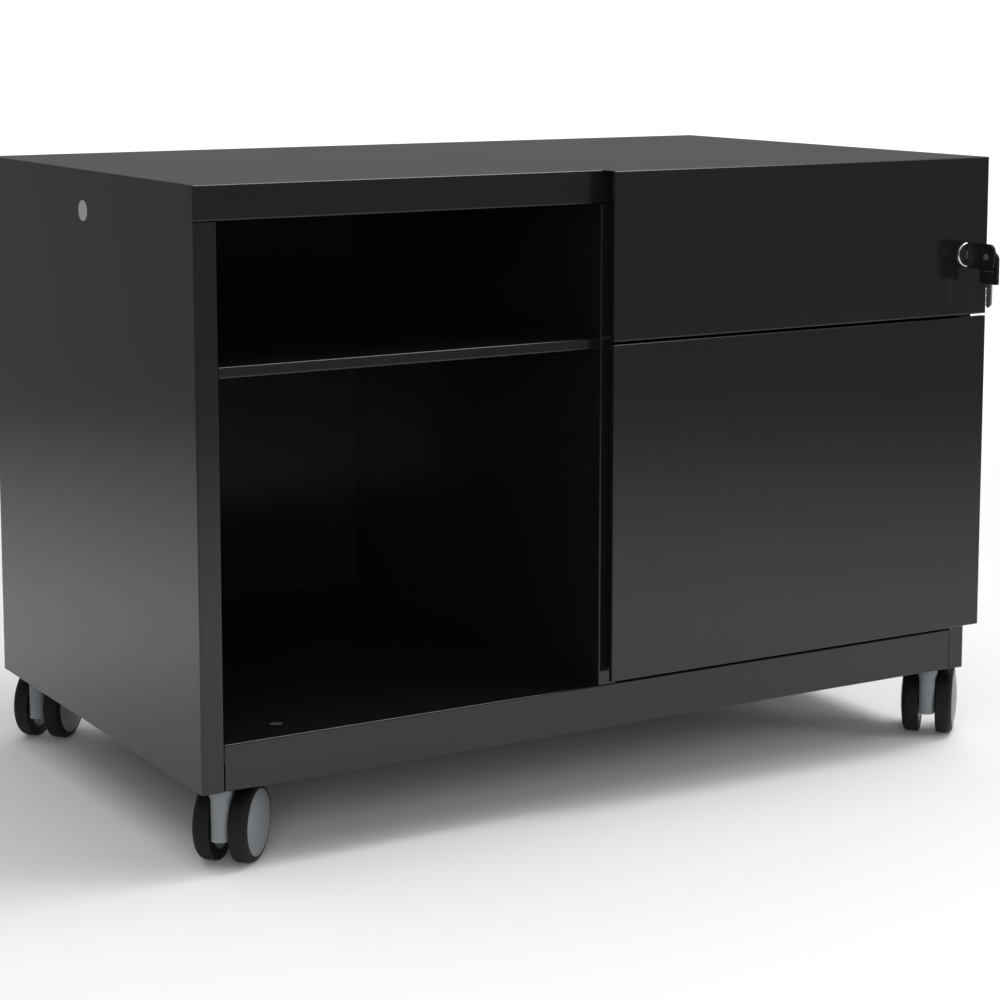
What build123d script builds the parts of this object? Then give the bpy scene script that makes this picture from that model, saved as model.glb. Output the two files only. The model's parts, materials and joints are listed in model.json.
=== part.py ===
from build123d import *
import os

# A rolling pedestal cabinet of folded sheet steel: an open bay with one shelf on the left,
# a box drawer over a filing drawer on the right, four twin-wheel castors underneath.
# Frame: millimetres, +Z up, the fronts face -Y, the origin is on the floor under the middle of the body.

# Body
WIDTH = 800.0
DEPTH = 468.0
BODY_HEIGHT = 494.0
GROUND_GAP = 72.0
SHEET = 1.0
BEND = 1.5
SEAM = 0.5
LEFT_FLANGE = 20.0
RIGHT_FLANGE = 17.6
TOP_RAIL = 29.0
PLINTH = 39.5
PARTITION_FROM_LEFT = 381.0
PARTITION_FLANGE = 18.0
LIP = 8.0
BASE_RETURN = 60.0

# Shelf and its slots
SHELF_TOP = 348.5
SHELF_FOLD = 9.6
SLOT_LEVELS = (179.6, 258.3, 337.5)
SLOT_DEPTHS = (45.0, 358.0)
SLOT_WIDE = 5.6
SLOT_HIGH = 2.8
CLIP_REACH = 8.0
CLIP_HIGH = 2.5

# Side caps
CAP_RADIUS = 9.0
CAP_SHANK_RADIUS = 6.9
CAP_HOLE_RADIUS = 7.0
CAP_HEIGHT = 458.5
CAP_PROUD = 1.2

# Drawer fronts
FRONT_PROUD = 20.5
FRONT_EDGE = 5.0
FRONT_LEFT = 381.5
UPPER_FRONT = (346.7, 494.0)
FILE_FRONT = (46.8, 344.5)
NECK_INTO_BODY = 4.5
NECK_GAP = 1.0
UPPER_NECK = (352.0, 462.0)
FILE_NECK = (52.0, 339.0)

# Drawer boxes and runners
BOX_DEPTH = 430.0
UPPER_BOX = (358.0, 458.0)
FILE_BOX = (54.0, 318.0)
RUNNER_SPACE = 12.7
RUNNER_LENGTH = 430.0
RUNNER_START = 9.0
RUNNER_SHEET = 1.2
RUNNER_CENTRES = {"upper": 408.0, "file": 178.0}
OUTER_HALF = 22.5
MIDDLE_HALF = 19.0
INNER_HALF = 15.5
MEMBER_DEPTHS = {"outer": (0.0, 10.5), "middle": (2.3, 10.2), "inner": (4.8, 12.7)}
BRACKET_WIDE = 30.0
BRACKET_STARTS = (24.0, 400.0)
BRACKET_LEVELS = (45.0, 450.0)
FILE_RAIL_SPAN = 330.0
FILE_RAIL_SHEET = 1.5
FILE_RAIL_DROP = 18.0
FILE_RAIL_LIP = 4.0

# Lock
LOCK_FROM_LEFT = 774.5
LOCK_HEIGHT = 403.5
ROSE_RADIUS = 11.4
ROSE_PROUD = 2.2
LOCK_BODY_RADIUS = 8.5
LOCK_HOLE_GAP = 0.1
LOCK_BODY_LENGTH = 20.0
BARREL_RADIUS = 6.0
BARREL_GAP = 0.06
BARREL_HEAD_RADIUS = 7.6
STUB_PROUD = 0.6
STUB_SIDE = 5.0
CAM_SHEET = 2.0
CAM_HUB_RADIUS = 5.4
CAM_REACH = 20.0
CAM_WIDE = 7.0
CAM_CLEARANCE = 5.5
BAR_FROM_LEFT = (786.0, 796.0)
BAR_SHEET = 2.0
BAR_SETBACK = 6.0
BAR_LEVELS = (55.0, 425.0)
BAR_LIFT = 10.0
HOOK_REACH = 12.0
HOOK_HIGH = 10.0
HOOK_TOP = 148.6
GUIDE_LEVELS = (90.0, 365.0)
GUIDE_HIGH = 12.0
GUIDE_GAP = 0.35

# Keys
KEY_THICK = 2.6
BLADE_THICK = 1.9
BLADE_WIDE = 7.4
BLADE_LENGTH = 22.0
KEYWAY_GAP = 0.2
BOW_LENGTH = 36.0
BOW_WIDE = 24.0
BOW_STANDOFF = 0.8
BOW_ROUND = 7.0
EYE_FROM_END = 10.5
EYE_RADIUS = 1.8
EYE_HEAD_RADIUS = 2.9
EYE_HEAD = 0.7
SPARE_OFFSET = 3.4
SPARE_BOW_LENGTH = 30.0
SPARE_EYE_FROM_END = 4.6
TANG_SLOT = (16.0, 1.3)
TANG_WIDE = 17.0
TANG_FIT = 0.1
TANG_INSET = 2.0
TANG_ROOT = 0.5
TANG_SLOT_FROM_EYE = 13.6

# Castors
CASTOR_INSET = (25.4, 21.5)
CASTOR_SWING = 45.0
TRAIL = 26.0
WHEEL_RADIUS = 33.5
WHEEL_INNER_FACE = 8.2
WHEEL_WIDTH = 18.5
TREAD_EDGE = 18.5
DISC_RADIUS = 28.0
DISC_DOME = 2.8
HUB_RADIUS = 24.0
SHOULDER_DEPTH = 21.9
AXLE_RADIUS = 3.0
AXLE_GAP = 0.06
FORK_HALF = 7.6
FORK_FRONT = 9.0
FORK_REAR = 35.0
FORK_BOTTOM = 25.0
FORK_TOP = 71.0
HEAD_RADIUS = 9.8
HEAD_FLARE = (58.0, 64.0)
STEM_RADIUS = 5.5
STEM_GAP = 0.05
STEM_BOTTOM = 41.0
STEM_TOP = 88.0
THREAD_RADIUS = 5.0
COLLAR_RADIUS = 8.0
COLLAR = 0.8
PLATE = 3.0
PLATE_SIDE = 60.0
NUT_FLATS = 17.0
NUT_HIGH = 8.0
BOLT_GAP = 0.25

# Floor holes for fixing loose fittings in the bay
FLOOR_HOLE_RADIUS = 5.8
FLOOR_HOLE_INSET = (84.0, 37.0)

# Planes that the pieces share
LEFT = -WIDTH / 2
RIGHT = WIDTH / 2
FRONT = -DEPTH / 2
BACK = DEPTH / 2
BOTTOM = GROUND_GAP
TOP = GROUND_GAP + BODY_HEIGHT
FLOOR = BOTTOM + PLINTH
RAIL_EDGE = TOP - TOP_RAIL
PARTITION = LEFT + PARTITION_FROM_LEFT
OPENING = (PARTITION + PARTITION_FLANGE, RIGHT - RIGHT_FLANGE)
OPENING_MIDDLE = sum(OPENING) / 2
BACK_PANEL = BACK - 2 * SHEET
FACE = FRONT - FRONT_PROUD
NECK_BACK = FRONT + NECK_INTO_BODY
NECK = (OPENING[0] + NECK_GAP, OPENING[1] - NECK_GAP)
BOX = (OPENING[0] + RUNNER_SPACE, OPENING[1] - RUNNER_SPACE)
LOCK_X = LEFT + LOCK_FROM_LEFT
LOCK_Z = BOTTOM + LOCK_HEIGHT
LOCK_BODY_END = FACE + LOCK_BODY_LENGTH
CAM_FACE = FRONT + SHEET + 0.4
AXLE_Z = WHEEL_RADIUS
NEAR = 0.05

ACROSS = {"X": ("Y", "Z"), "Y": ("X", "Z"), "Z": ("X", "Y")}


def block(x0, x1, y0, y1, z0, z1):
    """A box between two corners."""
    middle = Pos((x0 + x1) / 2, (y0 + y1) / 2, (z0 + z1) / 2)
    return middle * Box(x1 - x0, y1 - y0, z1 - z0)


def rod_x(y, z, radius, x0, x1):
    """A cylinder along X."""
    return Pos((x0 + x1) / 2, y, z) * Rot(0, 90, 0) * Cylinder(radius, x1 - x0)


def rod_y(x, z, radius, y0, y1):
    """A cylinder along Y."""
    return Pos(x, (y0 + y1) / 2, z) * Rot(90, 0, 0) * Cylinder(radius, y1 - y0)


def rod_z(x, y, radius, z0, z1):
    """A cylinder along Z."""
    return Pos(x, y, (z0 + z1) / 2) * Cylinder(radius, z1 - z0)


def soften(part, axis, spots, radius):
    """Round the edges that run along an axis through the given spots of the plane across it."""
    first, second = ACROSS[axis]
    chosen = []
    for edge in part.edges().filter_by(getattr(Axis, axis)):
        middle = edge.center()
        for a, b in spots:
            if abs(getattr(middle, first) - a) < NEAR and abs(getattr(middle, second) - b) < NEAR:
                chosen.append(edge)
    return fillet(chosen, radius)


def group(solids):
    """Several separate solids in one node."""
    return Compound(children=list(solids))


# ---------------------------------------------------------------- body


def side_panel(outer, inward, flange, lip):
    """A side: the skin, a front flange with an inward lip, and a back flange. inward is +1 or -1."""

    def span(a, b, y0, y1, z0, z1):
        ends = sorted((outer + inward * a, outer + inward * b))
        return block(ends[0], ends[1], y0, y1, z0, z1)

    top = TOP - SHEET
    panel = span(0, SHEET, FRONT, BACK, BOTTOM, top)
    panel -= span(-1, SHEET + 1, FRONT - 1, FRONT + SHEET + SEAM, RAIL_EDGE - SEAM, top + 1)
    panel += span(0, flange, FRONT, FRONT + SHEET, BOTTOM, RAIL_EDGE - SEAM)
    panel += span(flange - SHEET, flange, FRONT, FRONT + lip, BOTTOM, RAIL_EDGE - SEAM)
    panel += span(0, LIP, BACK - SHEET, BACK, BOTTOM, top)
    corners = [(outer, FRONT), (outer + inward * flange, FRONT), (outer, BACK)]
    panel = soften(panel, "Z", corners, BEND)
    cap_hole = rod_x(0, BOTTOM + CAP_HEIGHT, CAP_HOLE_RADIUS, outer - 2 * SHEET, outer + 2 * SHEET)
    return panel - cap_hole


def slot_places():
    """Every shelf slot as (y, z)."""
    return [(FRONT + depth, BOTTOM + level) for depth in SLOT_DEPTHS for level in SLOT_LEVELS]


def cut_slots(panel, x0, x1):
    """Punch the columns of shelf slots through an upright sheet."""
    wide = SLOT_WIDE / 2
    high = SLOT_HIGH / 2
    for y, z in slot_places():
        panel -= block(x0 - 1, x1 + 1, y - wide, y + wide, z - high, z + high)
    return panel


def left_liner():
    """The bay's left wall, flush with the edge of the front flange."""
    x1 = LEFT + LEFT_FLANGE
    x0 = x1 - SHEET
    liner = block(x0, x1, FRONT + LIP + SEAM, BACK_PANEL, FLOOR, TOP - SHEET)
    liner -= block(x0 - 1, x1 + 1, FRONT, FRONT + 2 * LIP, RAIL_EDGE - SEAM, TOP)
    return cut_slots(liner, x0, x1)


def partition():
    """The wall between the bay and the drawers, with its front flange and lip on the drawer side."""
    x0 = PARTITION
    x1 = x0 + PARTITION_FLANGE
    wall = block(x0, x0 + SHEET, FRONT, BACK_PANEL, FLOOR, TOP - SHEET)
    wall -= block(x0 - 1, x0 + SHEET + 1, FRONT - 1, FRONT + 2 * LIP, RAIL_EDGE - SEAM, TOP)
    wall += block(x0, x1, FRONT, FRONT + SHEET, FLOOR, RAIL_EDGE - SEAM)
    wall += block(x1 - SHEET, x1, FRONT, FRONT + LIP, FLOOR, RAIL_EDGE - SEAM)
    wall = soften(wall, "Z", [(x0, FRONT), (x1, FRONT)], BEND)
    return cut_slots(wall, x0, x0 + SHEET)


def top_panel():
    """The lid: its front folds down into a full-width rail that returns inwards."""
    panel = block(LEFT, RIGHT, FRONT, BACK, TOP - SHEET, TOP)
    panel += block(LEFT, RIGHT, FRONT, FRONT + SHEET, RAIL_EDGE, TOP)
    panel += block(LEFT + 2 * SHEET, RIGHT - 2 * SHEET, FRONT, FRONT + LIP, RAIL_EDGE, RAIL_EDGE + SHEET)
    panel = soften(panel, "X", [(FRONT, TOP), (FRONT, RAIL_EDGE)], BEND)
    return soften(panel, "Y", [(LEFT, TOP), (RIGHT, TOP)], SHEET * 0.7)


def castor_places():
    """The four swivel axes as (name, x, y)."""
    x = WIDTH / 2 - CASTOR_INSET[0]
    y = DEPTH / 2 - CASTOR_INSET[1]
    return [("front_left", -x, -y), ("front_right", x, -y), ("back_left", -x, y), ("back_right", x, y)]


def floor_hole_places():
    """The two holes of the bay's floor as (x, y), the same distance in from the front and the back."""
    inset_x, inset_y = FLOOR_HOLE_INSET
    return [(LEFT + inset_x, y) for y in (FRONT + inset_y, BACK - inset_y)]


def base_pan():
    """The floor with its plinth folded down at the front and returns underneath that carry the castors."""
    inner_left = LEFT + SHEET + 0.1
    inner_right = RIGHT - SHEET - 0.1
    plinth_left = LEFT + LEFT_FLANGE + 0.7
    plinth_right = OPENING[1] - SEAM
    side_start = FRONT + LIP + SEAM
    back = BACK_PANEL - 0.1

    def level(z0, z1, y1, start):
        sheet = block(plinth_left, plinth_right, FRONT, y1, z0, z1)
        return sheet + block(inner_left, inner_right, start, y1, z0, z1)

    pan = level(FLOOR - SHEET, FLOOR, back, side_start)
    pan += level(BOTTOM, BOTTOM + SHEET, FRONT + BASE_RETURN, side_start)
    pan += block(inner_left, inner_right, back - BASE_RETURN, back, BOTTOM, BOTTOM + SHEET)
    pan += block(inner_left, inner_right, back - SHEET, back, BOTTOM, FLOOR)
    pan += block(plinth_left, plinth_right, FRONT, FRONT + SHEET, BOTTOM, FLOOR)
    pan = soften(pan, "X", [(FRONT, FLOOR), (FRONT, BOTTOM)], BEND)
    for _, x, y in castor_places():
        pan -= rod_z(x, y, THREAD_RADIUS + BOLT_GAP, BOTTOM - 1, BOTTOM + 2 * SHEET)
    for x, y in floor_hole_places():
        pan -= rod_z(x, y, FLOOR_HOLE_RADIUS, FLOOR - 2 * SHEET, FLOOR + 1)
    return pan


def back_panel():
    """A plain sheet between the side panels' back flanges and the wall ends."""
    inset = SHEET + 0.1
    return block(LEFT + inset, RIGHT - inset, BACK_PANEL, BACK_PANEL + SHEET, BOTTOM, TOP - SHEET)


def shelf():
    """A tray turned upside down: the shelf with a fold down on all four sides."""
    x0 = LEFT + LEFT_FLANGE + 0.4
    x1 = PARTITION - 0.4
    y0 = FRONT + 0.5
    y1 = BACK_PANEL - 0.5
    z1 = BOTTOM + SHELF_TOP
    z0 = z1 - SHELF_FOLD
    tray = block(x0, x1, y0, y1, z0, z1)
    tray -= block(x0 + SHEET, x1 - SHEET, y0 + SHEET, y1 - SHEET, z0 - 1, z1 - SHEET)
    tray += block(x0, x1, y0, y0 + LIP, z0, z0 + SHEET)
    return soften(tray, "X", [(y0, z1), (y0, z0)], BEND)


def shelf_clips():
    """Four lugs that hook through the slots under the shelf's side folds."""
    z1 = BOTTOM + SHELF_TOP - SHELF_FOLD
    z0 = z1 - CLIP_HIGH
    half = SLOT_WIDE / 2 - 0.2
    clips = []
    for depth in SLOT_DEPTHS:
        y = FRONT + depth
        for wall, inward in ((LEFT + LEFT_FLANGE, 1), (PARTITION, -1)):
            ends = sorted((wall - inward * (SHEET + 0.1), wall + inward * CLIP_REACH))
            lug = block(ends[0], ends[1], y - half, y + half, z0, z1)
            hook_ends = sorted((wall - inward * (SHEET + 0.1), wall - inward * (2 * SHEET + 0.1)))
            hook = block(hook_ends[0], hook_ends[1], y - half, y + half, z0 - CLIP_HIGH, z1)
            clips.append(lug + hook)
    return group(clips)


def side_caps():
    """Domed caps that close the connecting hole high on each side."""
    caps = []
    z = BOTTOM + CAP_HEIGHT
    for outer, away in ((LEFT, -1), (RIGHT, 1)):
        head_ends = sorted((outer, outer + away * CAP_PROUD))
        shank_ends = sorted((outer, outer - away * 5 * SHEET))
        head = rod_x(0, z, CAP_RADIUS, head_ends[0], head_ends[1])
        circles = head.edges().filter_by(GeomType.CIRCLE)
        rim = [edge for edge in circles if abs(edge.center().X) > WIDTH / 2 + NEAR]
        shank = rod_x(0, z, CAP_SHANK_RADIUS, shank_ends[0], shank_ends[1])
        caps.append(fillet(rim, CAP_PROUD * 0.6) + shank)
    return group(caps)


def castor_plates():
    """Stiffening plates that lie on the base returns at the corners."""
    plates = []
    for _, x, y in castor_places():
        outer_x = (WIDTH / 2 - SHEET - 0.5) * (1 if x > 0 else -1)
        outer_y = FRONT + LIP + 2 * SEAM if y < 0 else BACK_PANEL - SHEET - 0.5
        x0, x1 = sorted((outer_x, outer_x - PLATE_SIDE * (1 if x > 0 else -1)))
        y0, y1 = sorted((outer_y, outer_y - PLATE_SIDE * (1 if y > 0 else -1)))
        plate = block(x0, x1, y0, y1, BOTTOM + SHEET, BOTTOM + SHEET + PLATE)
        plates.append(plate - rod_z(x, y, THREAD_RADIUS + BOLT_GAP, BOTTOM, TOP))
    return group(plates)


def castor_stems():
    """Stepped pins: a plain end that the castor turns on, a collar and a threaded end."""
    stems = []
    for _, x, y in castor_places():
        stem = rod_z(x, y, STEM_RADIUS, STEM_BOTTOM, BOTTOM)
        stem += rod_z(x, y, COLLAR_RADIUS, BOTTOM - COLLAR, BOTTOM)
        stem += rod_z(x, y, THREAD_RADIUS, BOTTOM, STEM_TOP)
        stems.append(stem)
    return group(stems)


def castor_nuts():
    """Hexagon nuts that clamp the stems to the plates."""
    nuts = []
    z0 = BOTTOM + SHEET + PLATE
    for _, x, y in castor_places():
        hexagon = RegularPolygon(NUT_FLATS / 2, 6, major_radius=False)
        nut = Pos(x, y, z0) * extrude(hexagon, NUT_HIGH)
        nuts.append(nut - rod_z(x, y, THREAD_RADIUS + 0.02, BOTTOM, TOP))
    return group(nuts)


# ---------------------------------------------------------------- runners


def runner_x(depth, side):
    """A depth into the runner space, measured from the drawer opening's edge. side is 0 left, 1 right."""
    return OPENING[0] + depth if side == 0 else OPENING[1] - depth


def runner_member(kind, half, centre, side):
    """One length of a telescopic runner: a C section that opens towards its partner."""
    near, far = MEMBER_DEPTHS[kind]
    web = (far - RUNNER_SHEET, far) if kind == "inner" else (near, near + RUNNER_SHEET)
    y0 = FRONT + RUNNER_START
    y1 = y0 + RUNNER_LENGTH
    z = BOTTOM + centre
    a, b = sorted((runner_x(near, side), runner_x(far, side)))
    c, d = sorted((runner_x(web[0], side), runner_x(web[1], side)))
    member = block(c, d, y0, y1, z - half, z + half)
    member += block(a, b, y0, y1, z + half - RUNNER_SHEET, z + half)
    member += block(a, b, y0, y1, z - half, z - half + RUNNER_SHEET)
    return member


def runner_pair(kind, half, drawer):
    """The same member on both sides of a drawer."""
    return [runner_member(kind, half, RUNNER_CENTRES[drawer], side) for side in (0, 1)]


def runner_brackets():
    """Upright channels that hold the runners clear of the side panel and the partition."""
    walls = (PARTITION + SHEET, RIGHT - SHEET)
    z0 = BOTTOM + BRACKET_LEVELS[0]
    z1 = BOTTOM + BRACKET_LEVELS[1]
    brackets = []
    for side, wall in enumerate(walls):
        x0, x1 = sorted((wall, OPENING[side]))
        for start in BRACKET_STARTS:
            y0 = FRONT + start
            y1 = y0 + BRACKET_WIDE
            inner = (x0 - 1, x1 - RUNNER_SHEET) if side == 0 else (x0 + RUNNER_SHEET, x1 + 1)
            channel = block(x0, x1, y0, y1, z0, z1)
            channel -= block(inner[0], inner[1], y0 + RUNNER_SHEET, y1 - RUNNER_SHEET, z0 - 1, z1 + 1)
            brackets.append(channel)
    return group(brackets)


# ---------------------------------------------------------------- drawers


def front_pan(levels, deep_top):
    """The visible skin of a drawer front, folded back on all four sides."""
    x0 = LEFT + FRONT_LEFT
    z0 = BOTTOM + levels[0]
    z1 = BOTTOM + levels[1]
    edge = FACE + FRONT_EDGE
    slab = block(x0, RIGHT, FACE, edge, z0, z1)
    pan = fillet([side for side in slab.edges() if abs(side.center().Y - FACE) < NEAR], BEND)
    pan -= block(x0 + SHEET, RIGHT - SHEET, FACE + SHEET, edge + 1, z0 + SHEET, z1 - SHEET)
    if deep_top:
        pan += block(x0, RIGHT, FACE + 2 * BEND, FRONT - SEAM / 2, z1 - SHEET, z1)
    return pan


def front_liner(levels, neck_levels):
    """The inner skin of a drawer front and the neck that reaches back to the drawer box."""
    inset = SHEET + 0.1
    x0 = LEFT + FRONT_LEFT + inset
    x1 = RIGHT - inset
    y1 = FACE + FRONT_EDGE
    z0 = BOTTOM + neck_levels[0]
    z1 = BOTTOM + neck_levels[1]
    skin = block(x0, x1, y1 - SHEET, y1, BOTTOM + levels[0] + inset, BOTTOM + levels[1] - inset)
    neck = block(NECK[0], NECK[1], y1 - SHEET, NECK_BACK, z0, z1)
    neck -= block(NECK[0] + SHEET, NECK[1] - SHEET, y1 - 2 * SHEET, NECK_BACK + 1, z0 + SHEET, z1 - SHEET)
    return skin + neck


def upper_front():
    """The box drawer's front, with its hole for the lock."""
    hole = rod_y(LOCK_X, LOCK_Z, LOCK_BODY_RADIUS + LOCK_HOLE_GAP, FACE - 1, FRONT)
    return front_pan(UPPER_FRONT, True) - hole


def upper_liner():
    """The box drawer's inner skin, with the lock's hole and the slot that the cam turns out through."""
    liner = front_liner(UPPER_FRONT, UPPER_NECK)
    liner -= rod_y(LOCK_X, LOCK_Z, LOCK_BODY_RADIUS + LOCK_HOLE_GAP, FACE, NECK_BACK + 1)
    z0 = LOCK_Z - CAM_REACH - CAM_CLEARANCE
    z1 = LOCK_Z + CAM_WIDE / 2 + CAM_CLEARANCE
    return liner - block(NECK[1] - 2 * SHEET, NECK[1] + 1, CAM_FACE - 1, NECK_BACK + 1, z0, z1)


def drawer_box(levels):
    """An open steel tray."""
    y0 = NECK_BACK
    y1 = y0 + BOX_DEPTH
    z0 = BOTTOM + levels[0]
    z1 = BOTTOM + levels[1]
    box = block(BOX[0], BOX[1], y0, y1, z0, z1)
    box -= block(BOX[0] + SHEET, BOX[1] - SHEET, y0 + SHEET, y1 - SHEET, z0 + SHEET, z1 + 1)
    corners = [(x, z0) for x in BOX]
    return soften(box, "Y", corners, BEND)


def hanging_file_rails():
    """Two rails on the filing drawer's side walls that carry the hooks of hanging files."""
    z1 = BOTTOM + FILE_BOX[1] - FILE_RAIL_LIP
    y0 = NECK_BACK + 2 * SHEET
    y1 = NECK_BACK + BOX_DEPTH - 2 * SHEET
    rails = []
    for side in (0, 1):
        inward = 1 if side == 0 else -1
        wall = BOX[side] + inward * (SHEET + 0.05)
        edge = OPENING_MIDDLE - inward * FILE_RAIL_SPAN / 2
        hang = sorted((wall, wall + inward * FILE_RAIL_SHEET))
        shelf_ends = sorted((wall, edge))
        lip = sorted((edge, edge - inward * FILE_RAIL_SHEET))
        rail = block(hang[0], hang[1], y0, y1, z1 - FILE_RAIL_DROP, z1)
        rail += block(shelf_ends[0], shelf_ends[1], y0, y1, z1 - FILE_RAIL_SHEET, z1)
        rail += block(lip[0], lip[1], y0, y1, z1 - FILE_RAIL_SHEET, z1 + FILE_RAIL_LIP)
        rails.append(rail)
    return group(rails)


# ---------------------------------------------------------------- lock and keys


def lock_housing():
    """The fixed shell of the lock: a rounded rose on the face and a sleeve behind it."""
    rose = rod_y(LOCK_X, LOCK_Z, ROSE_RADIUS, FACE - ROSE_PROUD, FACE)
    rim = [edge for edge in rose.edges().filter_by(GeomType.CIRCLE) if edge.center().Y < FACE - NEAR]
    shell = fillet(rim, ROSE_PROUD * 0.6)
    shell += rod_y(LOCK_X, LOCK_Z, LOCK_BODY_RADIUS, FACE, LOCK_BODY_END)
    shell -= rod_y(LOCK_X, LOCK_Z, BARREL_RADIUS + BARREL_GAP, FACE - 2 * ROSE_PROUD, LOCK_BODY_END + 1)
    recess = BARREL_HEAD_RADIUS + BARREL_GAP
    return shell - rod_y(LOCK_X, LOCK_Z, recess, FACE - 2 * ROSE_PROUD, FACE - ROSE_PROUD / 2)


def lock_barrel():
    """The turning plug, slotted for the key, with a square stub for the cam."""
    head_y = FACE - ROSE_PROUD / 2 - 0.1
    plug = rod_y(LOCK_X, LOCK_Z, BARREL_HEAD_RADIUS, FACE - ROSE_PROUD + 0.3, head_y)
    plug += rod_y(LOCK_X, LOCK_Z, BARREL_RADIUS, head_y, CAM_FACE - 0.1)
    half = STUB_SIDE / 2
    stub_end = CAM_FACE + CAM_SHEET + STUB_PROUD
    plug += block(LOCK_X - half, LOCK_X + half, CAM_FACE - 1, stub_end, LOCK_Z - half, LOCK_Z + half)
    wide = BLADE_THICK / 2 + KEYWAY_GAP
    high = BLADE_WIDE / 2 + KEYWAY_GAP
    y0 = FACE - 2 * ROSE_PROUD
    y1 = FACE + BLADE_LENGTH - 2.0
    return plug - block(LOCK_X - wide, LOCK_X + wide, y0, y1, LOCK_Z - high, LOCK_Z + high)


def lock_cam():
    """The tongue behind the lock. It hangs down when unlocked and turns out behind the body's flange."""
    y0 = CAM_FACE
    y1 = y0 + CAM_SHEET
    cam = rod_y(LOCK_X, LOCK_Z, CAM_HUB_RADIUS, y0, y1)
    cam += block(LOCK_X - CAM_WIDE / 2, LOCK_X + CAM_WIDE / 2, y0, y1, LOCK_Z - CAM_REACH, LOCK_Z)
    half = STUB_SIDE / 2 + 0.02
    return cam - block(LOCK_X - half, LOCK_X + half, y0 - 1, y1 + 1, LOCK_Z - half, LOCK_Z + half)


def lock_bar():
    """The upright bar beside the drawers. The cam lifts its ledge, which brings its hook up close under
    the filing drawer's runner."""
    x0 = LEFT + BAR_FROM_LEFT[0]
    x1 = LEFT + BAR_FROM_LEFT[1]
    y0 = FRONT + BAR_SETBACK
    y1 = y0 + BAR_SHEET
    bar = block(x0, x1, y0, y1, BOTTOM + BAR_LEVELS[0], BOTTOM + BAR_LEVELS[1])
    hook_top = BOTTOM + HOOK_TOP
    bar += block(x0 - HOOK_REACH, x0 + 1, y0, y1, hook_top - HOOK_HIGH, hook_top)
    ledge = LOCK_Z + CAM_WIDE / 2 + 0.2 - BAR_LIFT
    return bar + block(x0, x1, CAM_FACE - 0.2, y1, ledge, ledge + BAR_SHEET)


def lock_bar_guides():
    """Two blocks on the side panel that the bar slides through."""
    x0 = LEFT + BAR_FROM_LEFT[0]
    x1 = LEFT + BAR_FROM_LEFT[1]
    y0 = FRONT + BAR_SETBACK
    y1 = y0 + BAR_SHEET
    guides = []
    for level in GUIDE_LEVELS:
        z0 = BOTTOM + level
        z1 = z0 + GUIDE_HIGH
        guide = block(x0 - 1.8, RIGHT - SHEET, y0 - 2.2, y1 + 2.2, z0, z1)
        guide -= block(x0 - GUIDE_GAP, x1 + GUIDE_GAP, y0 - GUIDE_GAP, y1 + GUIDE_GAP, z0 - 1, z1 + 1)
        guides.append(guide)
    return group(guides)


def right_side_panel():
    """The right side. Its lip has a slot where the cam turns out."""
    panel = side_panel(RIGHT, -1, RIGHT_FLANGE, NECK_INTO_BODY - 0.5)
    z0 = LOCK_Z - CAM_REACH - CAM_CLEARANCE
    z1 = LOCK_Z + CAM_WIDE / 2 + CAM_CLEARANCE
    return panel - block(OPENING[1] - 1, OPENING[1] + SHEET, FRONT + SHEET, FRONT + LIP, z0, z1)


def blade_outline(length, teeth):
    """A key blade in the plane of its bow: the tip at +length, with a row of shallow cuts along one edge."""
    half = BLADE_WIDE / 2
    points = [(0, -half), (length - 3, -half), (length, -half / 3), (length, half / 3)]
    pitch = (length - 6) / teeth
    for i in range(teeth, 0, -1):
        start = 3 + pitch * (i - 1)
        points += [(start + pitch, half), (start + pitch / 2, half - 1.0 - 0.5 * (i % 2))]
    points += [(3, half), (0, half)]
    return make_face(Polyline(*points, close=True))


def tang_plate(length, room):
    """The blade's flat root in the bow: a neck, then a wider plate, both grown sideways by room."""
    thick = BLADE_THICK / 4
    neck = BLADE_WIDE / 2 + room
    wide = TANG_WIDE / 2 + room
    stem = block(-length, TANG_ROOT, -neck, neck, -thick, thick)
    return stem + block(-length - room, -TANG_INSET + room, -wide, wide, -thick, thick)


def key_shape(bow_length, tang):
    """A key drawn flat: the blade along +X from the bow's edge, the bow behind it, thickness along Z."""
    blade = Pos(0, 0, -BLADE_THICK / 2) * extrude(blade_outline(BLADE_LENGTH, 5), BLADE_THICK)
    bow = block(-bow_length, 0, -BOW_WIDE / 2, BOW_WIDE / 2, -KEY_THICK / 2, KEY_THICK / 2)
    ends = [(-bow_length, -BOW_WIDE / 2), (-bow_length, BOW_WIDE / 2)]
    bow = soften(bow, "Z", ends, BOW_ROUND)
    bow = soften(bow, "Z", [(0, -BOW_WIDE / 2), (0, BOW_WIDE / 2)], 1.5)
    return blade + tang_plate(tang, 0), bow - tang_plate(tang, TANG_FIT)


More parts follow.
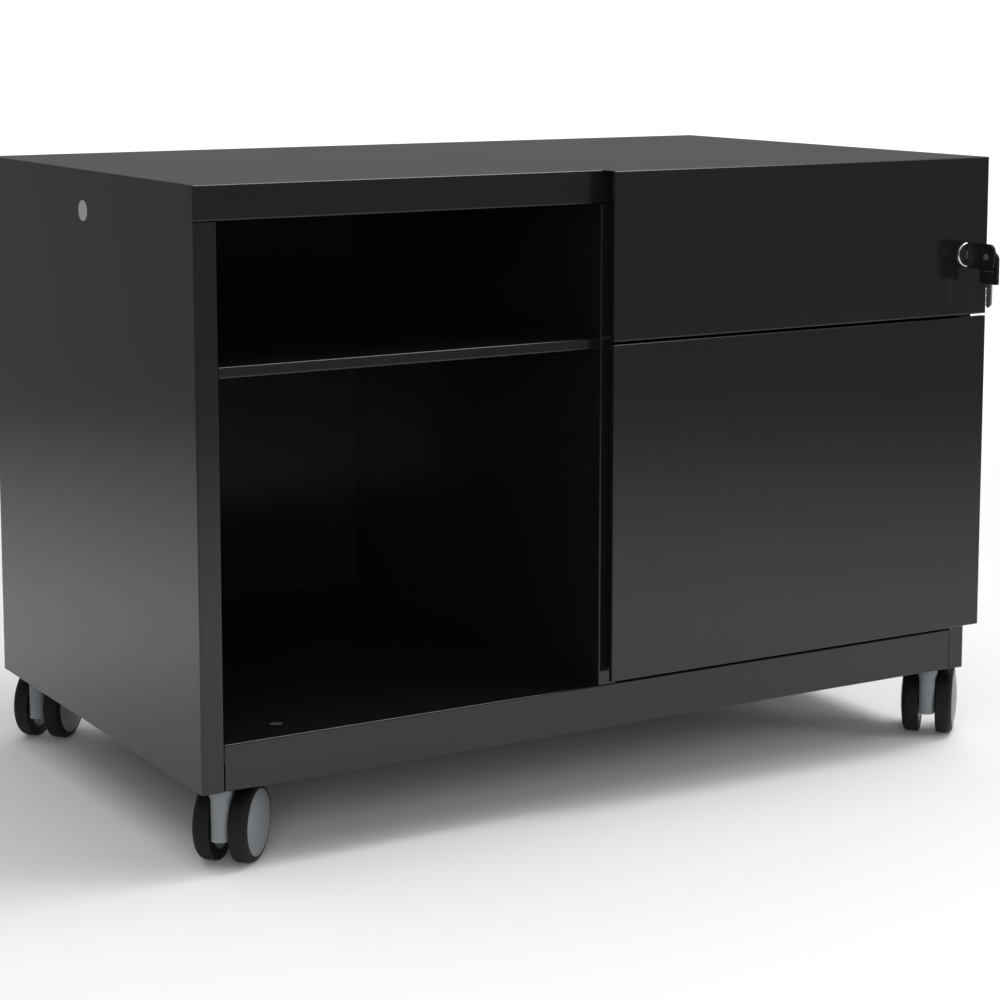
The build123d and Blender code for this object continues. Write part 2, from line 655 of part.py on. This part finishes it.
def key_in_lock():
    """The key in the lock, its bow upright, and the eyelet through the bow that holds the spare."""
    blade, bow = key_shape(BOW_LENGTH, 8.0)
    bow_edge = FACE - ROSE_PROUD - BOW_STANDOFF
    place = Pos(LOCK_X, bow_edge, LOCK_Z) * Rot(0, 90, 0) * Rot(0, 0, 90)
    eye_y = bow_edge - BOW_LENGTH + EYE_FROM_END
    hole = rod_x(eye_y, LOCK_Z, EYE_RADIUS + 0.02, LOCK_X - 5, LOCK_X + 5)
    outer = LOCK_X - KEY_THICK / 2 - EYE_HEAD
    inner = LOCK_X + SPARE_OFFSET + KEY_THICK / 2 + 0.15
    eyelet = rod_x(eye_y, LOCK_Z, EYE_RADIUS, outer, inner + EYE_HEAD)
    eyelet += rod_x(eye_y, LOCK_Z, EYE_HEAD_RADIUS, outer, outer + EYE_HEAD)
    eyelet += rod_x(eye_y, LOCK_Z, EYE_HEAD_RADIUS, inner, inner + EYE_HEAD)
    return place * blade, place * bow - hole, eyelet, eye_y


def spare_key(eye_y):
    """The spare, hanging point down from the eyelet beside the first key."""
    blade, bow = key_shape(SPARE_BOW_LENGTH, 20.0)
    slot_x = -SPARE_BOW_LENGTH + SPARE_EYE_FROM_END + TANG_SLOT_FROM_EYE
    long, high = TANG_SLOT
    window = block(slot_x - high / 2, slot_x + high / 2, -long / 2, long / 2, -KEY_THICK, 0)
    drop = SPARE_BOW_LENGTH - SPARE_EYE_FROM_END
    place = Pos(LOCK_X + SPARE_OFFSET, eye_y, LOCK_Z - drop) * Rot(0, 90, 0)
    hole = rod_x(eye_y, LOCK_Z, EYE_RADIUS + 0.08, LOCK_X, LOCK_X + 10)
    return place * blade, place * (bow - window) - hole


# ---------------------------------------------------------------- castors


def wheel_hub():
    """The plastic wheel centre, turned about Y: a blind bore, a rim for the tyre and a domed outer disc."""
    inner = WHEEL_INNER_FACE + 0.3
    outer = WHEEL_INNER_FACE + WHEEL_WIDTH
    bore = AXLE_RADIUS + AXLE_GAP
    bore_end = SHOULDER_DEPTH + 0.6
    disc = DISC_RADIUS - 0.1
    edge = outer - DISC_DOME
    lines = Polyline(
        (0, outer),
        (0, bore_end),
        (bore, bore_end),
        (bore, inner),
        (HUB_RADIUS, inner),
        (HUB_RADIUS, SHOULDER_DEPTH),
        (disc, SHOULDER_DEPTH),
        (disc, edge),
    )
    dome = TangentArc((0, outer), (disc, edge), tangent=(1, 0))
    return revolve(make_face(lines + dome), Axis.Y)


def wheel_tyre():
    """The soft tyre, turned about Y, with a full round outer shoulder."""
    inner = WHEEL_INNER_FACE
    seat = HUB_RADIUS + 0.05
    shoulder = WHEEL_RADIUS - DISC_RADIUS
    lines = Polyline(
        (DISC_RADIUS, TREAD_EDGE + shoulder),
        (DISC_RADIUS, SHOULDER_DEPTH - 0.1),
        (seat, SHOULDER_DEPTH - 0.1),
        (seat, inner),
        (WHEEL_RADIUS - BEND, inner),
    )
    corner = TangentArc((WHEEL_RADIUS - BEND, inner), (WHEEL_RADIUS, inner + BEND), tangent=(1, 0))
    tread = Line((WHEEL_RADIUS, inner + BEND), (WHEEL_RADIUS, TREAD_EDGE))
    round_side = TangentArc((WHEEL_RADIUS, TREAD_EDGE), (DISC_RADIUS, TREAD_EDGE + shoulder), tangent=(0, 1))
    return revolve(make_face(lines + corner + tread + round_side), Axis.Y)


def castor_fork():
    """The swivelling body between the wheels: a round-fronted leg under a wider head, bored for the stem."""
    front = FORK_HALF - FORK_FRONT
    plan = rod_z(front, 0, FORK_HALF, FORK_BOTTOM, FORK_TOP)
    plan += block(front, FORK_REAR, -FORK_HALF, FORK_HALF, FORK_BOTTOM, FORK_TOP)
    rear = TRAIL + FORK_FRONT
    outline = Polyline(
        (-FORK_FRONT - 1, FORK_BOTTOM),
        (rear, FORK_BOTTOM),
        (rear, AXLE_Z + FORK_FRONT),
        (TRAIL, FORK_TOP - FORK_FRONT),
        (HEAD_RADIUS + 2, FORK_TOP - 2),
        (-FORK_FRONT - 1, FORK_TOP),
        close=True,
    )
    side = make_face(Plane.XZ * outline)
    leg = plan & extrude(side, FORK_HALF * 2, both=True)
    flare_low, flare_high = HEAD_FLARE
    flare = Pos(0, 0, (flare_low + flare_high) / 2) * Cone(FORK_HALF, HEAD_RADIUS, flare_high - flare_low)
    fork = leg + flare + rod_z(0, 0, HEAD_RADIUS, flare_high, FORK_TOP)
    fork -= rod_z(0, 0, STEM_RADIUS + STEM_GAP, STEM_BOTTOM - 0.5, FORK_TOP + 1)
    return fork - rod_y(TRAIL, AXLE_Z, AXLE_RADIUS + 0.02, -2 * FORK_HALF, 2 * FORK_HALF)


def castor_pieces():
    """One castor about its swivel axis, trailing along +X: every piece by its name."""
    wheel = Pos(TRAIL, 0, AXLE_Z)
    hub = wheel_hub()
    tyre = wheel_tyre()
    axle = rod_y(TRAIL, AXLE_Z, AXLE_RADIUS, -SHOULDER_DEPTH, SHOULDER_DEPTH)
    return {
        "fork": castor_fork(),
        "axle": axle,
        "left_hub": wheel * hub,
        "left_tyre": wheel * tyre,
        "right_hub": wheel * mirror(hub, Plane.XZ),
        "right_tyre": wheel * mirror(tyre, Plane.XZ),
    }


# ---------------------------------------------------------------- assembly


def all_parts():
    """Every node by its name."""
    key_blade, key_bow, key_eyelet, eye_y = key_in_lock()
    spare_blade, spare_bow = spare_key(eye_y)
    cabinet_rails = runner_pair("outer", OUTER_HALF, "upper") + runner_pair("outer", OUTER_HALF, "file")
    parts = {
        "left_side_panel": side_panel(LEFT, 1, LEFT_FLANGE, LIP),
        "left_liner_panel": left_liner(),
        "right_side_panel": right_side_panel(),
        "top_panel": top_panel(),
        "base_pan": base_pan(),
        "back_panel": back_panel(),
        "partition_panel": partition(),
        "shelf": shelf(),
        "shelf_clips": shelf_clips(),
        "side_caps": side_caps(),
        "castor_plates": castor_plates(),
        "castor_stems": castor_stems(),
        "castor_nuts": castor_nuts(),
        "runner_brackets": runner_brackets(),
        "cabinet_rails": group(cabinet_rails),
        "lock_bar_guides": lock_bar_guides(),
        "upper_drawer_front": upper_front(),
        "upper_front_liner": upper_liner(),
        "upper_drawer_box": drawer_box(UPPER_BOX),
        "upper_drawer_rails": group(runner_pair("inner", INNER_HALF, "upper")),
        "upper_middle_rails": group(runner_pair("middle", MIDDLE_HALF, "upper")),
        "file_drawer_front": front_pan(FILE_FRONT, False),
        "file_front_liner": front_liner(FILE_FRONT, FILE_NECK),
        "file_drawer_box": drawer_box(FILE_BOX),
        "file_drawer_rails": group(runner_pair("inner", INNER_HALF, "file")),
        "file_middle_rails": group(runner_pair("middle", MIDDLE_HALF, "file")),
        "hanging_file_rails": hanging_file_rails(),
        "lock_housing": lock_housing(),
        "lock_barrel": lock_barrel(),
        "lock_cam": lock_cam(),
        "lock_bar": lock_bar(),
        "key_blade": key_blade,
        "key_bow": key_bow,
        "key_eyelet": key_eyelet,
        "spare_key_blade": spare_blade,
        "spare_key_bow": spare_bow,
    }
    pieces = castor_pieces()
    for corner, x, y in castor_places():
        place = Pos(x, y, 0) * Rot(0, 0, CASTOR_SWING)
        for name, piece in pieces.items():
            parts[f"castor_{corner}_{name}"] = place * piece
    return parts


def main():
    os.makedirs("parts", exist_ok=True)
    for name, shape in all_parts().items():
        export_step(shape, f"parts/{name}.step")


main()
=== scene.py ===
"""Looks of the black steel rolling pedestal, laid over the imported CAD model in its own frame, in metres."""
import json
from math import pi, radians

import bmesh
import bpy
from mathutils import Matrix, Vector

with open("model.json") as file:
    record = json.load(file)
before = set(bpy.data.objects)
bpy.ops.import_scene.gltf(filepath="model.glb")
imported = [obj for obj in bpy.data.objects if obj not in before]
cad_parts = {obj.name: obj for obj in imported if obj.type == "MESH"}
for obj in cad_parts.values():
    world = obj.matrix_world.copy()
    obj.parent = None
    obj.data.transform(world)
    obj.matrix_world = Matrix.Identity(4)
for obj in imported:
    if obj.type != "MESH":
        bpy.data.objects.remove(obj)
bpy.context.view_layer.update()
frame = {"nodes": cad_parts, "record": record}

# Camera: where it stands, which way it looks and how long its lens is.
EYE = (-1.198, -2.054, 0.701)
YAW = radians(30.63)
PITCH = radians(7.65)
LENS = 90.8
SHIFT_UP = -0.15

# Studio: a round of pale paper, solid as far as FLOOR_SOLID and gone at FLOOR_RADIUS, a white backdrop
# for the camera, and dimmer tones below, at and above the horizon for what the paint mirrors.
FLOOR_RADIUS = 2.5
FLOOR_SOLID = 1.0
FLOOR_SIDES = 96
FLOOR_TONE = 0.86
BACKDROP = 1.15
BELOW = 0.22
SKY_LOW = 0.16
SKY_HIGH = 0.50
HORIZON = (0.47, 0.53)

# Softboxes: name, place, what it faces, side, power, and whether glossy surfaces mirror it.
SOFTBOXES = (
    ("overhead", (0.0, 0.0, 3.0), (0.0, 0.0, 0.0), 5.0, 61.0, True),
    ("key", (1.1, -0.5, 2.9), (0.0, 0.0, 0.3), 1.3, 38.0, True),
    ("front_right_fill", (2.6, -2.2, 1.3), (0.0, 0.0, 0.2), 1.4, 22.0, False),
    ("front_left_fill", (-1.6, -2.6, 0.9), (-0.2, 0.0, 0.3), 1.6, 28.0, False),
)

# Colours, as linear values.
PAINT = (0.0075, 0.0075, 0.0077)
PLASTIC_GREY = (0.172, 0.188, 0.200)
CAP_GREY = (0.37, 0.37, 0.375)
RUBBER = (0.0042, 0.0042, 0.0043)
KEY_BLACK = (0.0080, 0.0080, 0.0083)
ZINC = (0.56, 0.57, 0.59)
NICKEL = (0.72, 0.71, 0.68)
CHROME = (0.72, 0.72, 0.73)
NYLON = (0.72, 0.71, 0.67)

# Roughness of each surface, from its glossiest to its dullest spots.
PAINT_GLOSS = (0.13, 0.17)
ZINC_GLOSS = (0.24, 0.40)
CHROME_GLOSS = (0.07, 0.17)
NICKEL_GLOSS = (0.32, 0.46)
KEY_GLOSS = (0.26, 0.38)
CASTOR_GLOSS = (0.34, 0.46)
TRIM_GLOSS = (0.38, 0.50)
RUBBER_GLOSS = (0.50, 0.68)
PAPER_GLOSS = (0.85, 0.95)

# Spark-eroded grain of the plastics: grains per metre, and their depth in metres.
KEY_GRAIN = 2600.0
NYLON_GRAIN = 1700.0
GRAIN_DEPTH = 0.00004


def tinted(colour, factor):
    """A colour made lighter or darker."""
    return tuple(min(1.0, channel * factor) for channel in colour)


class Finish:
    """A material whose nodes are added one call at a time."""

    def __init__(self, name):
        self.material = bpy.data.materials.new(name)
        self.material.use_nodes = True
        self.nodes = self.material.node_tree.nodes
        self.links = self.material.node_tree.links
        self.shader = self.nodes["Principled BSDF"]
        self.place = self.nodes.new("ShaderNodeTexCoord").outputs["Object"]

    def set(self, **values):
        """Plain numbers on the shader's own sockets, with _ for a space."""
        for name, value in values.items():
            self.shader.inputs[name.replace("_", " ")].default_value = value

    def stretched(self, scale):
        """The object's coordinates, stretched by scale along each axis."""
        node = self.nodes.new("ShaderNodeMapping")
        node.inputs["Scale"].default_value = scale
        self.links.new(self.place, node.inputs["Vector"])
        return node.outputs["Vector"]

    def noise(self, scale, detail=2.0, roughness=0.5, vector=None):
        """Cloudy noise, scale times per metre."""
        node = self.nodes.new("ShaderNodeTexNoise")
        node.inputs["Scale"].default_value = scale
        node.inputs["Detail"].default_value = detail
        node.inputs["Roughness"].default_value = roughness
        self.links.new(vector or self.place, node.inputs["Vector"])
        return node.outputs["Fac"]

    def cells(self, scale):
        """Random tone per crystal or grain cell, scale times per metre."""
        node = self.nodes.new("ShaderNodeTexVoronoi")
        node.inputs["Scale"].default_value = scale
        self.links.new(self.place, node.inputs["Vector"])
        return node.outputs["Distance"]

    def ramp(self, value, low, high, start=0.3, end=0.7):
        """A ramp from colour low to colour high as value goes from start to end."""
        node = self.nodes.new("ShaderNodeValToRGB")
        first, last = node.color_ramp.elements
        first.position, first.color = start, (*low, 1)
        last.position, last.color = end, (*high, 1)
        self.links.new(value, node.inputs["Fac"])
        return node.outputs["Color"]

    def spread(self, value, low, high, start=0.3, end=0.7):
        """A number from low to high as value goes from start to end."""
        node = self.nodes.new("ShaderNodeMapRange")
        for socket, number in (("From Min", start), ("From Max", end), ("To Min", low), ("To Max", high)):
            node.inputs[socket].default_value = number
        self.links.new(value, node.inputs["Value"])
        return node.outputs["Result"]

    def bump(self, height, depth, strength=1.0, under=None):
        """Relief of that depth in metres, laid over an earlier one if there is one."""
        node = self.nodes.new("ShaderNodeBump")
        node.inputs["Strength"].default_value = strength
        node.inputs["Distance"].default_value = depth
        self.links.new(height, node.inputs["Height"])
        if under:
            self.links.new(under, node.inputs["Normal"])
        return node.outputs["Normal"]

    def plug(self, **outputs):
        """Links outputs to the shader's sockets, with _ for a space."""
        for name, output in outputs.items():
            self.links.new(output, self.shader.inputs[name.replace("_", " ")])


def powder_coat():
    """Smooth semi-gloss black: a faint orange peel, a little cloudiness in the gloss and fine dust specks."""
    finish = Finish("black_powder_coat")
    finish.set(IOR=1.5, Specular_IOR_Level=0.5)
    specks = finish.noise(scale=2600.0, detail=1.0)
    finish.plug(Base_Color=finish.ramp(specks, PAINT, tinted(PAINT, 1.9), start=0.55, end=0.80))
    finish.plug(Roughness=finish.spread(finish.noise(scale=7.0, detail=3.0), *PAINT_GLOSS))
    peel = finish.bump(finish.noise(scale=330.0, detail=1.5), depth=0.00012, strength=0.06)
    fine = finish.noise(scale=1900.0)
    finish.plug(Normal=finish.bump(fine, depth=0.00003, strength=0.06, under=peel))
    return finish.material


def zinc_plate():
    """Bright zinc: cold-rolled streaks under faint crystals, with darker and lighter tones."""
    finish = Finish("zinc_plated_steel")
    finish.set(Metallic=1.0)
    tone = finish.noise(scale=26.0, detail=3.0)
    lengthwise = finish.stretched((14.0, 1.0, 14.0))
    streaks = finish.noise(scale=60.0, detail=4.0, roughness=0.6, vector=lengthwise)
    finish.plug(Base_Color=finish.ramp(tone, tinted(ZINC, 0.86), tinted(ZINC, 1.12)))
    finish.plug(Roughness=finish.spread(streaks, *ZINC_GLOSS))
    grain = finish.bump(streaks, depth=0.00005, strength=0.25)
    crystals = finish.cells(scale=900.0)
    finish.plug(Normal=finish.bump(crystals, depth=0.00004, strength=0.15, under=grain))
    return finish.material


def chrome_plate():
    """Polished chrome with a haze of fine handling marks."""
    finish = Finish("polished_chrome")
    finish.set(Metallic=1.0)
    around = finish.stretched((1.0, 1.0, 7.0))
    marks = finish.noise(scale=900.0, detail=4.0, roughness=0.7, vector=around)
    finish.plug(Base_Color=finish.ramp(finish.noise(scale=120.0), tinted(CHROME, 0.93), CHROME))
    finish.plug(Roughness=finish.spread(marks, *CHROME_GLOSS))
    finish.plug(Normal=finish.bump(marks, depth=0.00001, strength=0.2))
    return finish.material


def nickel_plate():
    """Stamped key blank: warm grey metal with lengthwise rolling marks."""
    finish = Finish("nickel_plated_key")
    finish.set(Metallic=1.0)
    lengthwise = finish.stretched((1.0, 0.12, 0.5))
    marks = finish.noise(scale=700.0, detail=4.0, roughness=0.65, vector=lengthwise)
    tone = finish.noise(scale=150.0)
    finish.plug(Base_Color=finish.ramp(tone, tinted(NICKEL, 0.85), tinted(NICKEL, 1.08)))
    finish.plug(Roughness=finish.spread(marks, *NICKEL_GLOSS))
    finish.plug(Normal=finish.bump(marks, depth=0.00003, strength=0.35))
    return finish.material


def moulded(name, colour, gloss, grain):
    """Injection-moulded plastic: a fine grain, clouding from the flow and a satin gloss."""
    finish = Finish(name)
    finish.set(IOR=1.5, Specular_IOR_Level=0.5)
    clouds = finish.noise(scale=38.0, detail=3.0)
    finish.plug(Base_Color=finish.ramp(clouds, tinted(colour, 0.90), tinted(colour, 1.08)))
    finish.plug(Roughness=finish.spread(finish.noise(scale=grain / 2), *gloss))
    pits = finish.noise(scale=grain, detail=3.0, roughness=0.6)
    finish.plug(Normal=finish.bump(pits, depth=GRAIN_DEPTH, strength=0.35))
    return finish.material


def tread_rubber():
    """Soft matt tread: a fine skin with patches of dust."""
    finish = Finish("tread_rubber")
    finish.set(IOR=1.48, Specular_IOR_Level=0.28)
    dust = finish.noise(scale=90.0, detail=5.0, roughness=0.65)
    finish.plug(Base_Color=finish.ramp(dust, RUBBER, tinted(RUBBER, 2.2), start=0.45, end=0.85))
    finish.plug(Roughness=finish.spread(dust, *RUBBER_GLOSS))
    skin = finish.noise(scale=1500.0, detail=4.0, roughness=0.6)
    finish.plug(Normal=finish.bump(skin, depth=0.00006, strength=0.4))
    return finish.material


def studio_floor():
    """Pale seamless paper that thins out towards its rim, so it has no edge to see."""
    finish = Finish("seamless_paper")
    tone = (FLOOR_TONE,) * 3
    finish.set(Specular_IOR_Level=0.0)
    clouds = finish.noise(scale=3.0, detail=4.0)
    finish.plug(Base_Color=finish.ramp(clouds, tinted(tone, 0.995), tone))
    finish.plug(Roughness=finish.spread(finish.noise(scale=900.0), *PAPER_GLOSS))
    reach = finish.nodes.new("ShaderNodeVectorMath")
    reach.operation = "LENGTH"
    finish.links.new(finish.place, reach.inputs[0])
    thinning = finish.spread(reach.outputs["Value"], 1.0, 0.0, start=FLOOR_SOLID, end=FLOOR_RADIUS)
    finish.plug(Alpha=thinning)
    return finish.material


FINISHES = {
    "black_paint": powder_coat(),
    "zinc_steel": zinc_plate(),
    "bright_chrome": chrome_plate(),
    "nickel_key": nickel_plate(),
    "black_plastic": moulded("black_key_plastic", KEY_BLACK, KEY_GLOSS, KEY_GRAIN),
    "castor_grey": moulded("castor_grey_nylon", PLASTIC_GREY, CASTOR_GLOSS, NYLON_GRAIN),
    "tyre_black": tread_rubber(),
    "cap_grey": moulded("cap_grey_plastic", CAP_GREY, TRIM_GLOSS, NYLON_GRAIN),
    "white_nylon": moulded("white_nylon", NYLON, TRIM_GLOSS, NYLON_GRAIN),
}


def dress_nodes():
    """Gives each CAD node the finish of its material slot."""
    slots = {part["node"]: part["material_slot"] for part in frame["record"]["subparts"]}
    for name, node in frame["nodes"].items():
        if not node.material_slots:
            node.data.materials.append(None)
        for holder in node.material_slots:
            holder.link = "OBJECT"
            holder.material = FINISHES[slots[name]]


def add_camera():
    """The camera at the photographer's place."""
    data = bpy.data.cameras.new("camera")
    data.lens = LENS
    data.shift_y = SHIFT_UP
    camera = bpy.data.objects.new("camera", data)
    camera.location = EYE
    camera.rotation_euler = (pi / 2 - PITCH, 0.0, -YAW)
    bpy.context.scene.collection.objects.link(camera)
    bpy.context.scene.camera = camera


def add_softbox(name, place, target, side, power, mirrored):
    """A square softbox of that side at place, facing target. The camera never sees it itself."""
    data = bpy.data.lights.new(name, "AREA")
    data.shape = "SQUARE"
    data.size = side
    data.energy = power
    light = bpy.data.objects.new(name, data)
    light.location = place
    light.rotation_euler = (Vector(target) - Vector(place)).to_track_quat("-Z", "Y").to_euler()
    light.visible_camera = False
    light.visible_glossy = mirrored
    bpy.context.scene.collection.objects.link(light)


def add_floor():
    """A wide round floor at the castors' contact height."""
    mesh = bpy.data.meshes.new("studio_floor")
    form = bmesh.new()
    bmesh.ops.create_circle(form, cap_ends=True, radius=FLOOR_RADIUS, segments=FLOOR_SIDES)
    form.to_mesh(mesh)
    form.free()
    floor = bpy.data.objects.new("studio_floor", mesh)
    mesh.materials.append(studio_floor())
    bpy.context.scene.collection.objects.link(floor)


def add_world():
    """White surroundings to look at. What lights the object and shows in its gloss is dimmer."""
    world = bpy.data.worlds.new("studio")
    world.use_nodes = True
    nodes, links = world.node_tree.nodes, world.node_tree.links
    split = nodes.new("ShaderNodeSeparateXYZ")
    links.new(nodes.new("ShaderNodeTexCoord").outputs["Generated"], split.inputs["Vector"])
    height = nodes.new("ShaderNodeMapRange")
    height.inputs["From Min"].default_value = -1.0
    links.new(split.outputs["Z"], height.inputs["Value"])
    walls = nodes.new("ShaderNodeValToRGB")
    stops = walls.color_ramp.elements
    for place in HORIZON:
        stops.new(place)
    for stop, tone in zip(stops, (BELOW, BELOW, SKY_LOW, SKY_HIGH)):
        stop.color = (tone, tone, tone, 1.0)
    links.new(height.outputs["Result"], walls.inputs["Fac"])
    links.new(walls.outputs["Color"], nodes["Background"].inputs["Color"])
    backdrop = nodes.new("ShaderNodeBackground")
    backdrop.inputs["Color"].default_value = (1.0, 1.0, 1.0, 1.0)
    backdrop.inputs["Strength"].default_value = BACKDROP
    mix = nodes.new("ShaderNodeMixShader")
    links.new(nodes.new("ShaderNodeLightPath").outputs["Is Camera Ray"], mix.inputs["Fac"])
    links.new(nodes["Background"].outputs["Background"], mix.inputs[1])
    links.new(backdrop.outputs["Background"], mix.inputs[2])
    links.new(mix.outputs["Shader"], nodes["World Output"].inputs["Surface"])
    bpy.context.scene.world = world
    bpy.context.scene.view_settings.view_transform = "Standard"


dress_nodes()
add_camera()
add_floor()
add_world()
for softbox in SOFTBOXES:
    add_softbox(*softbox)
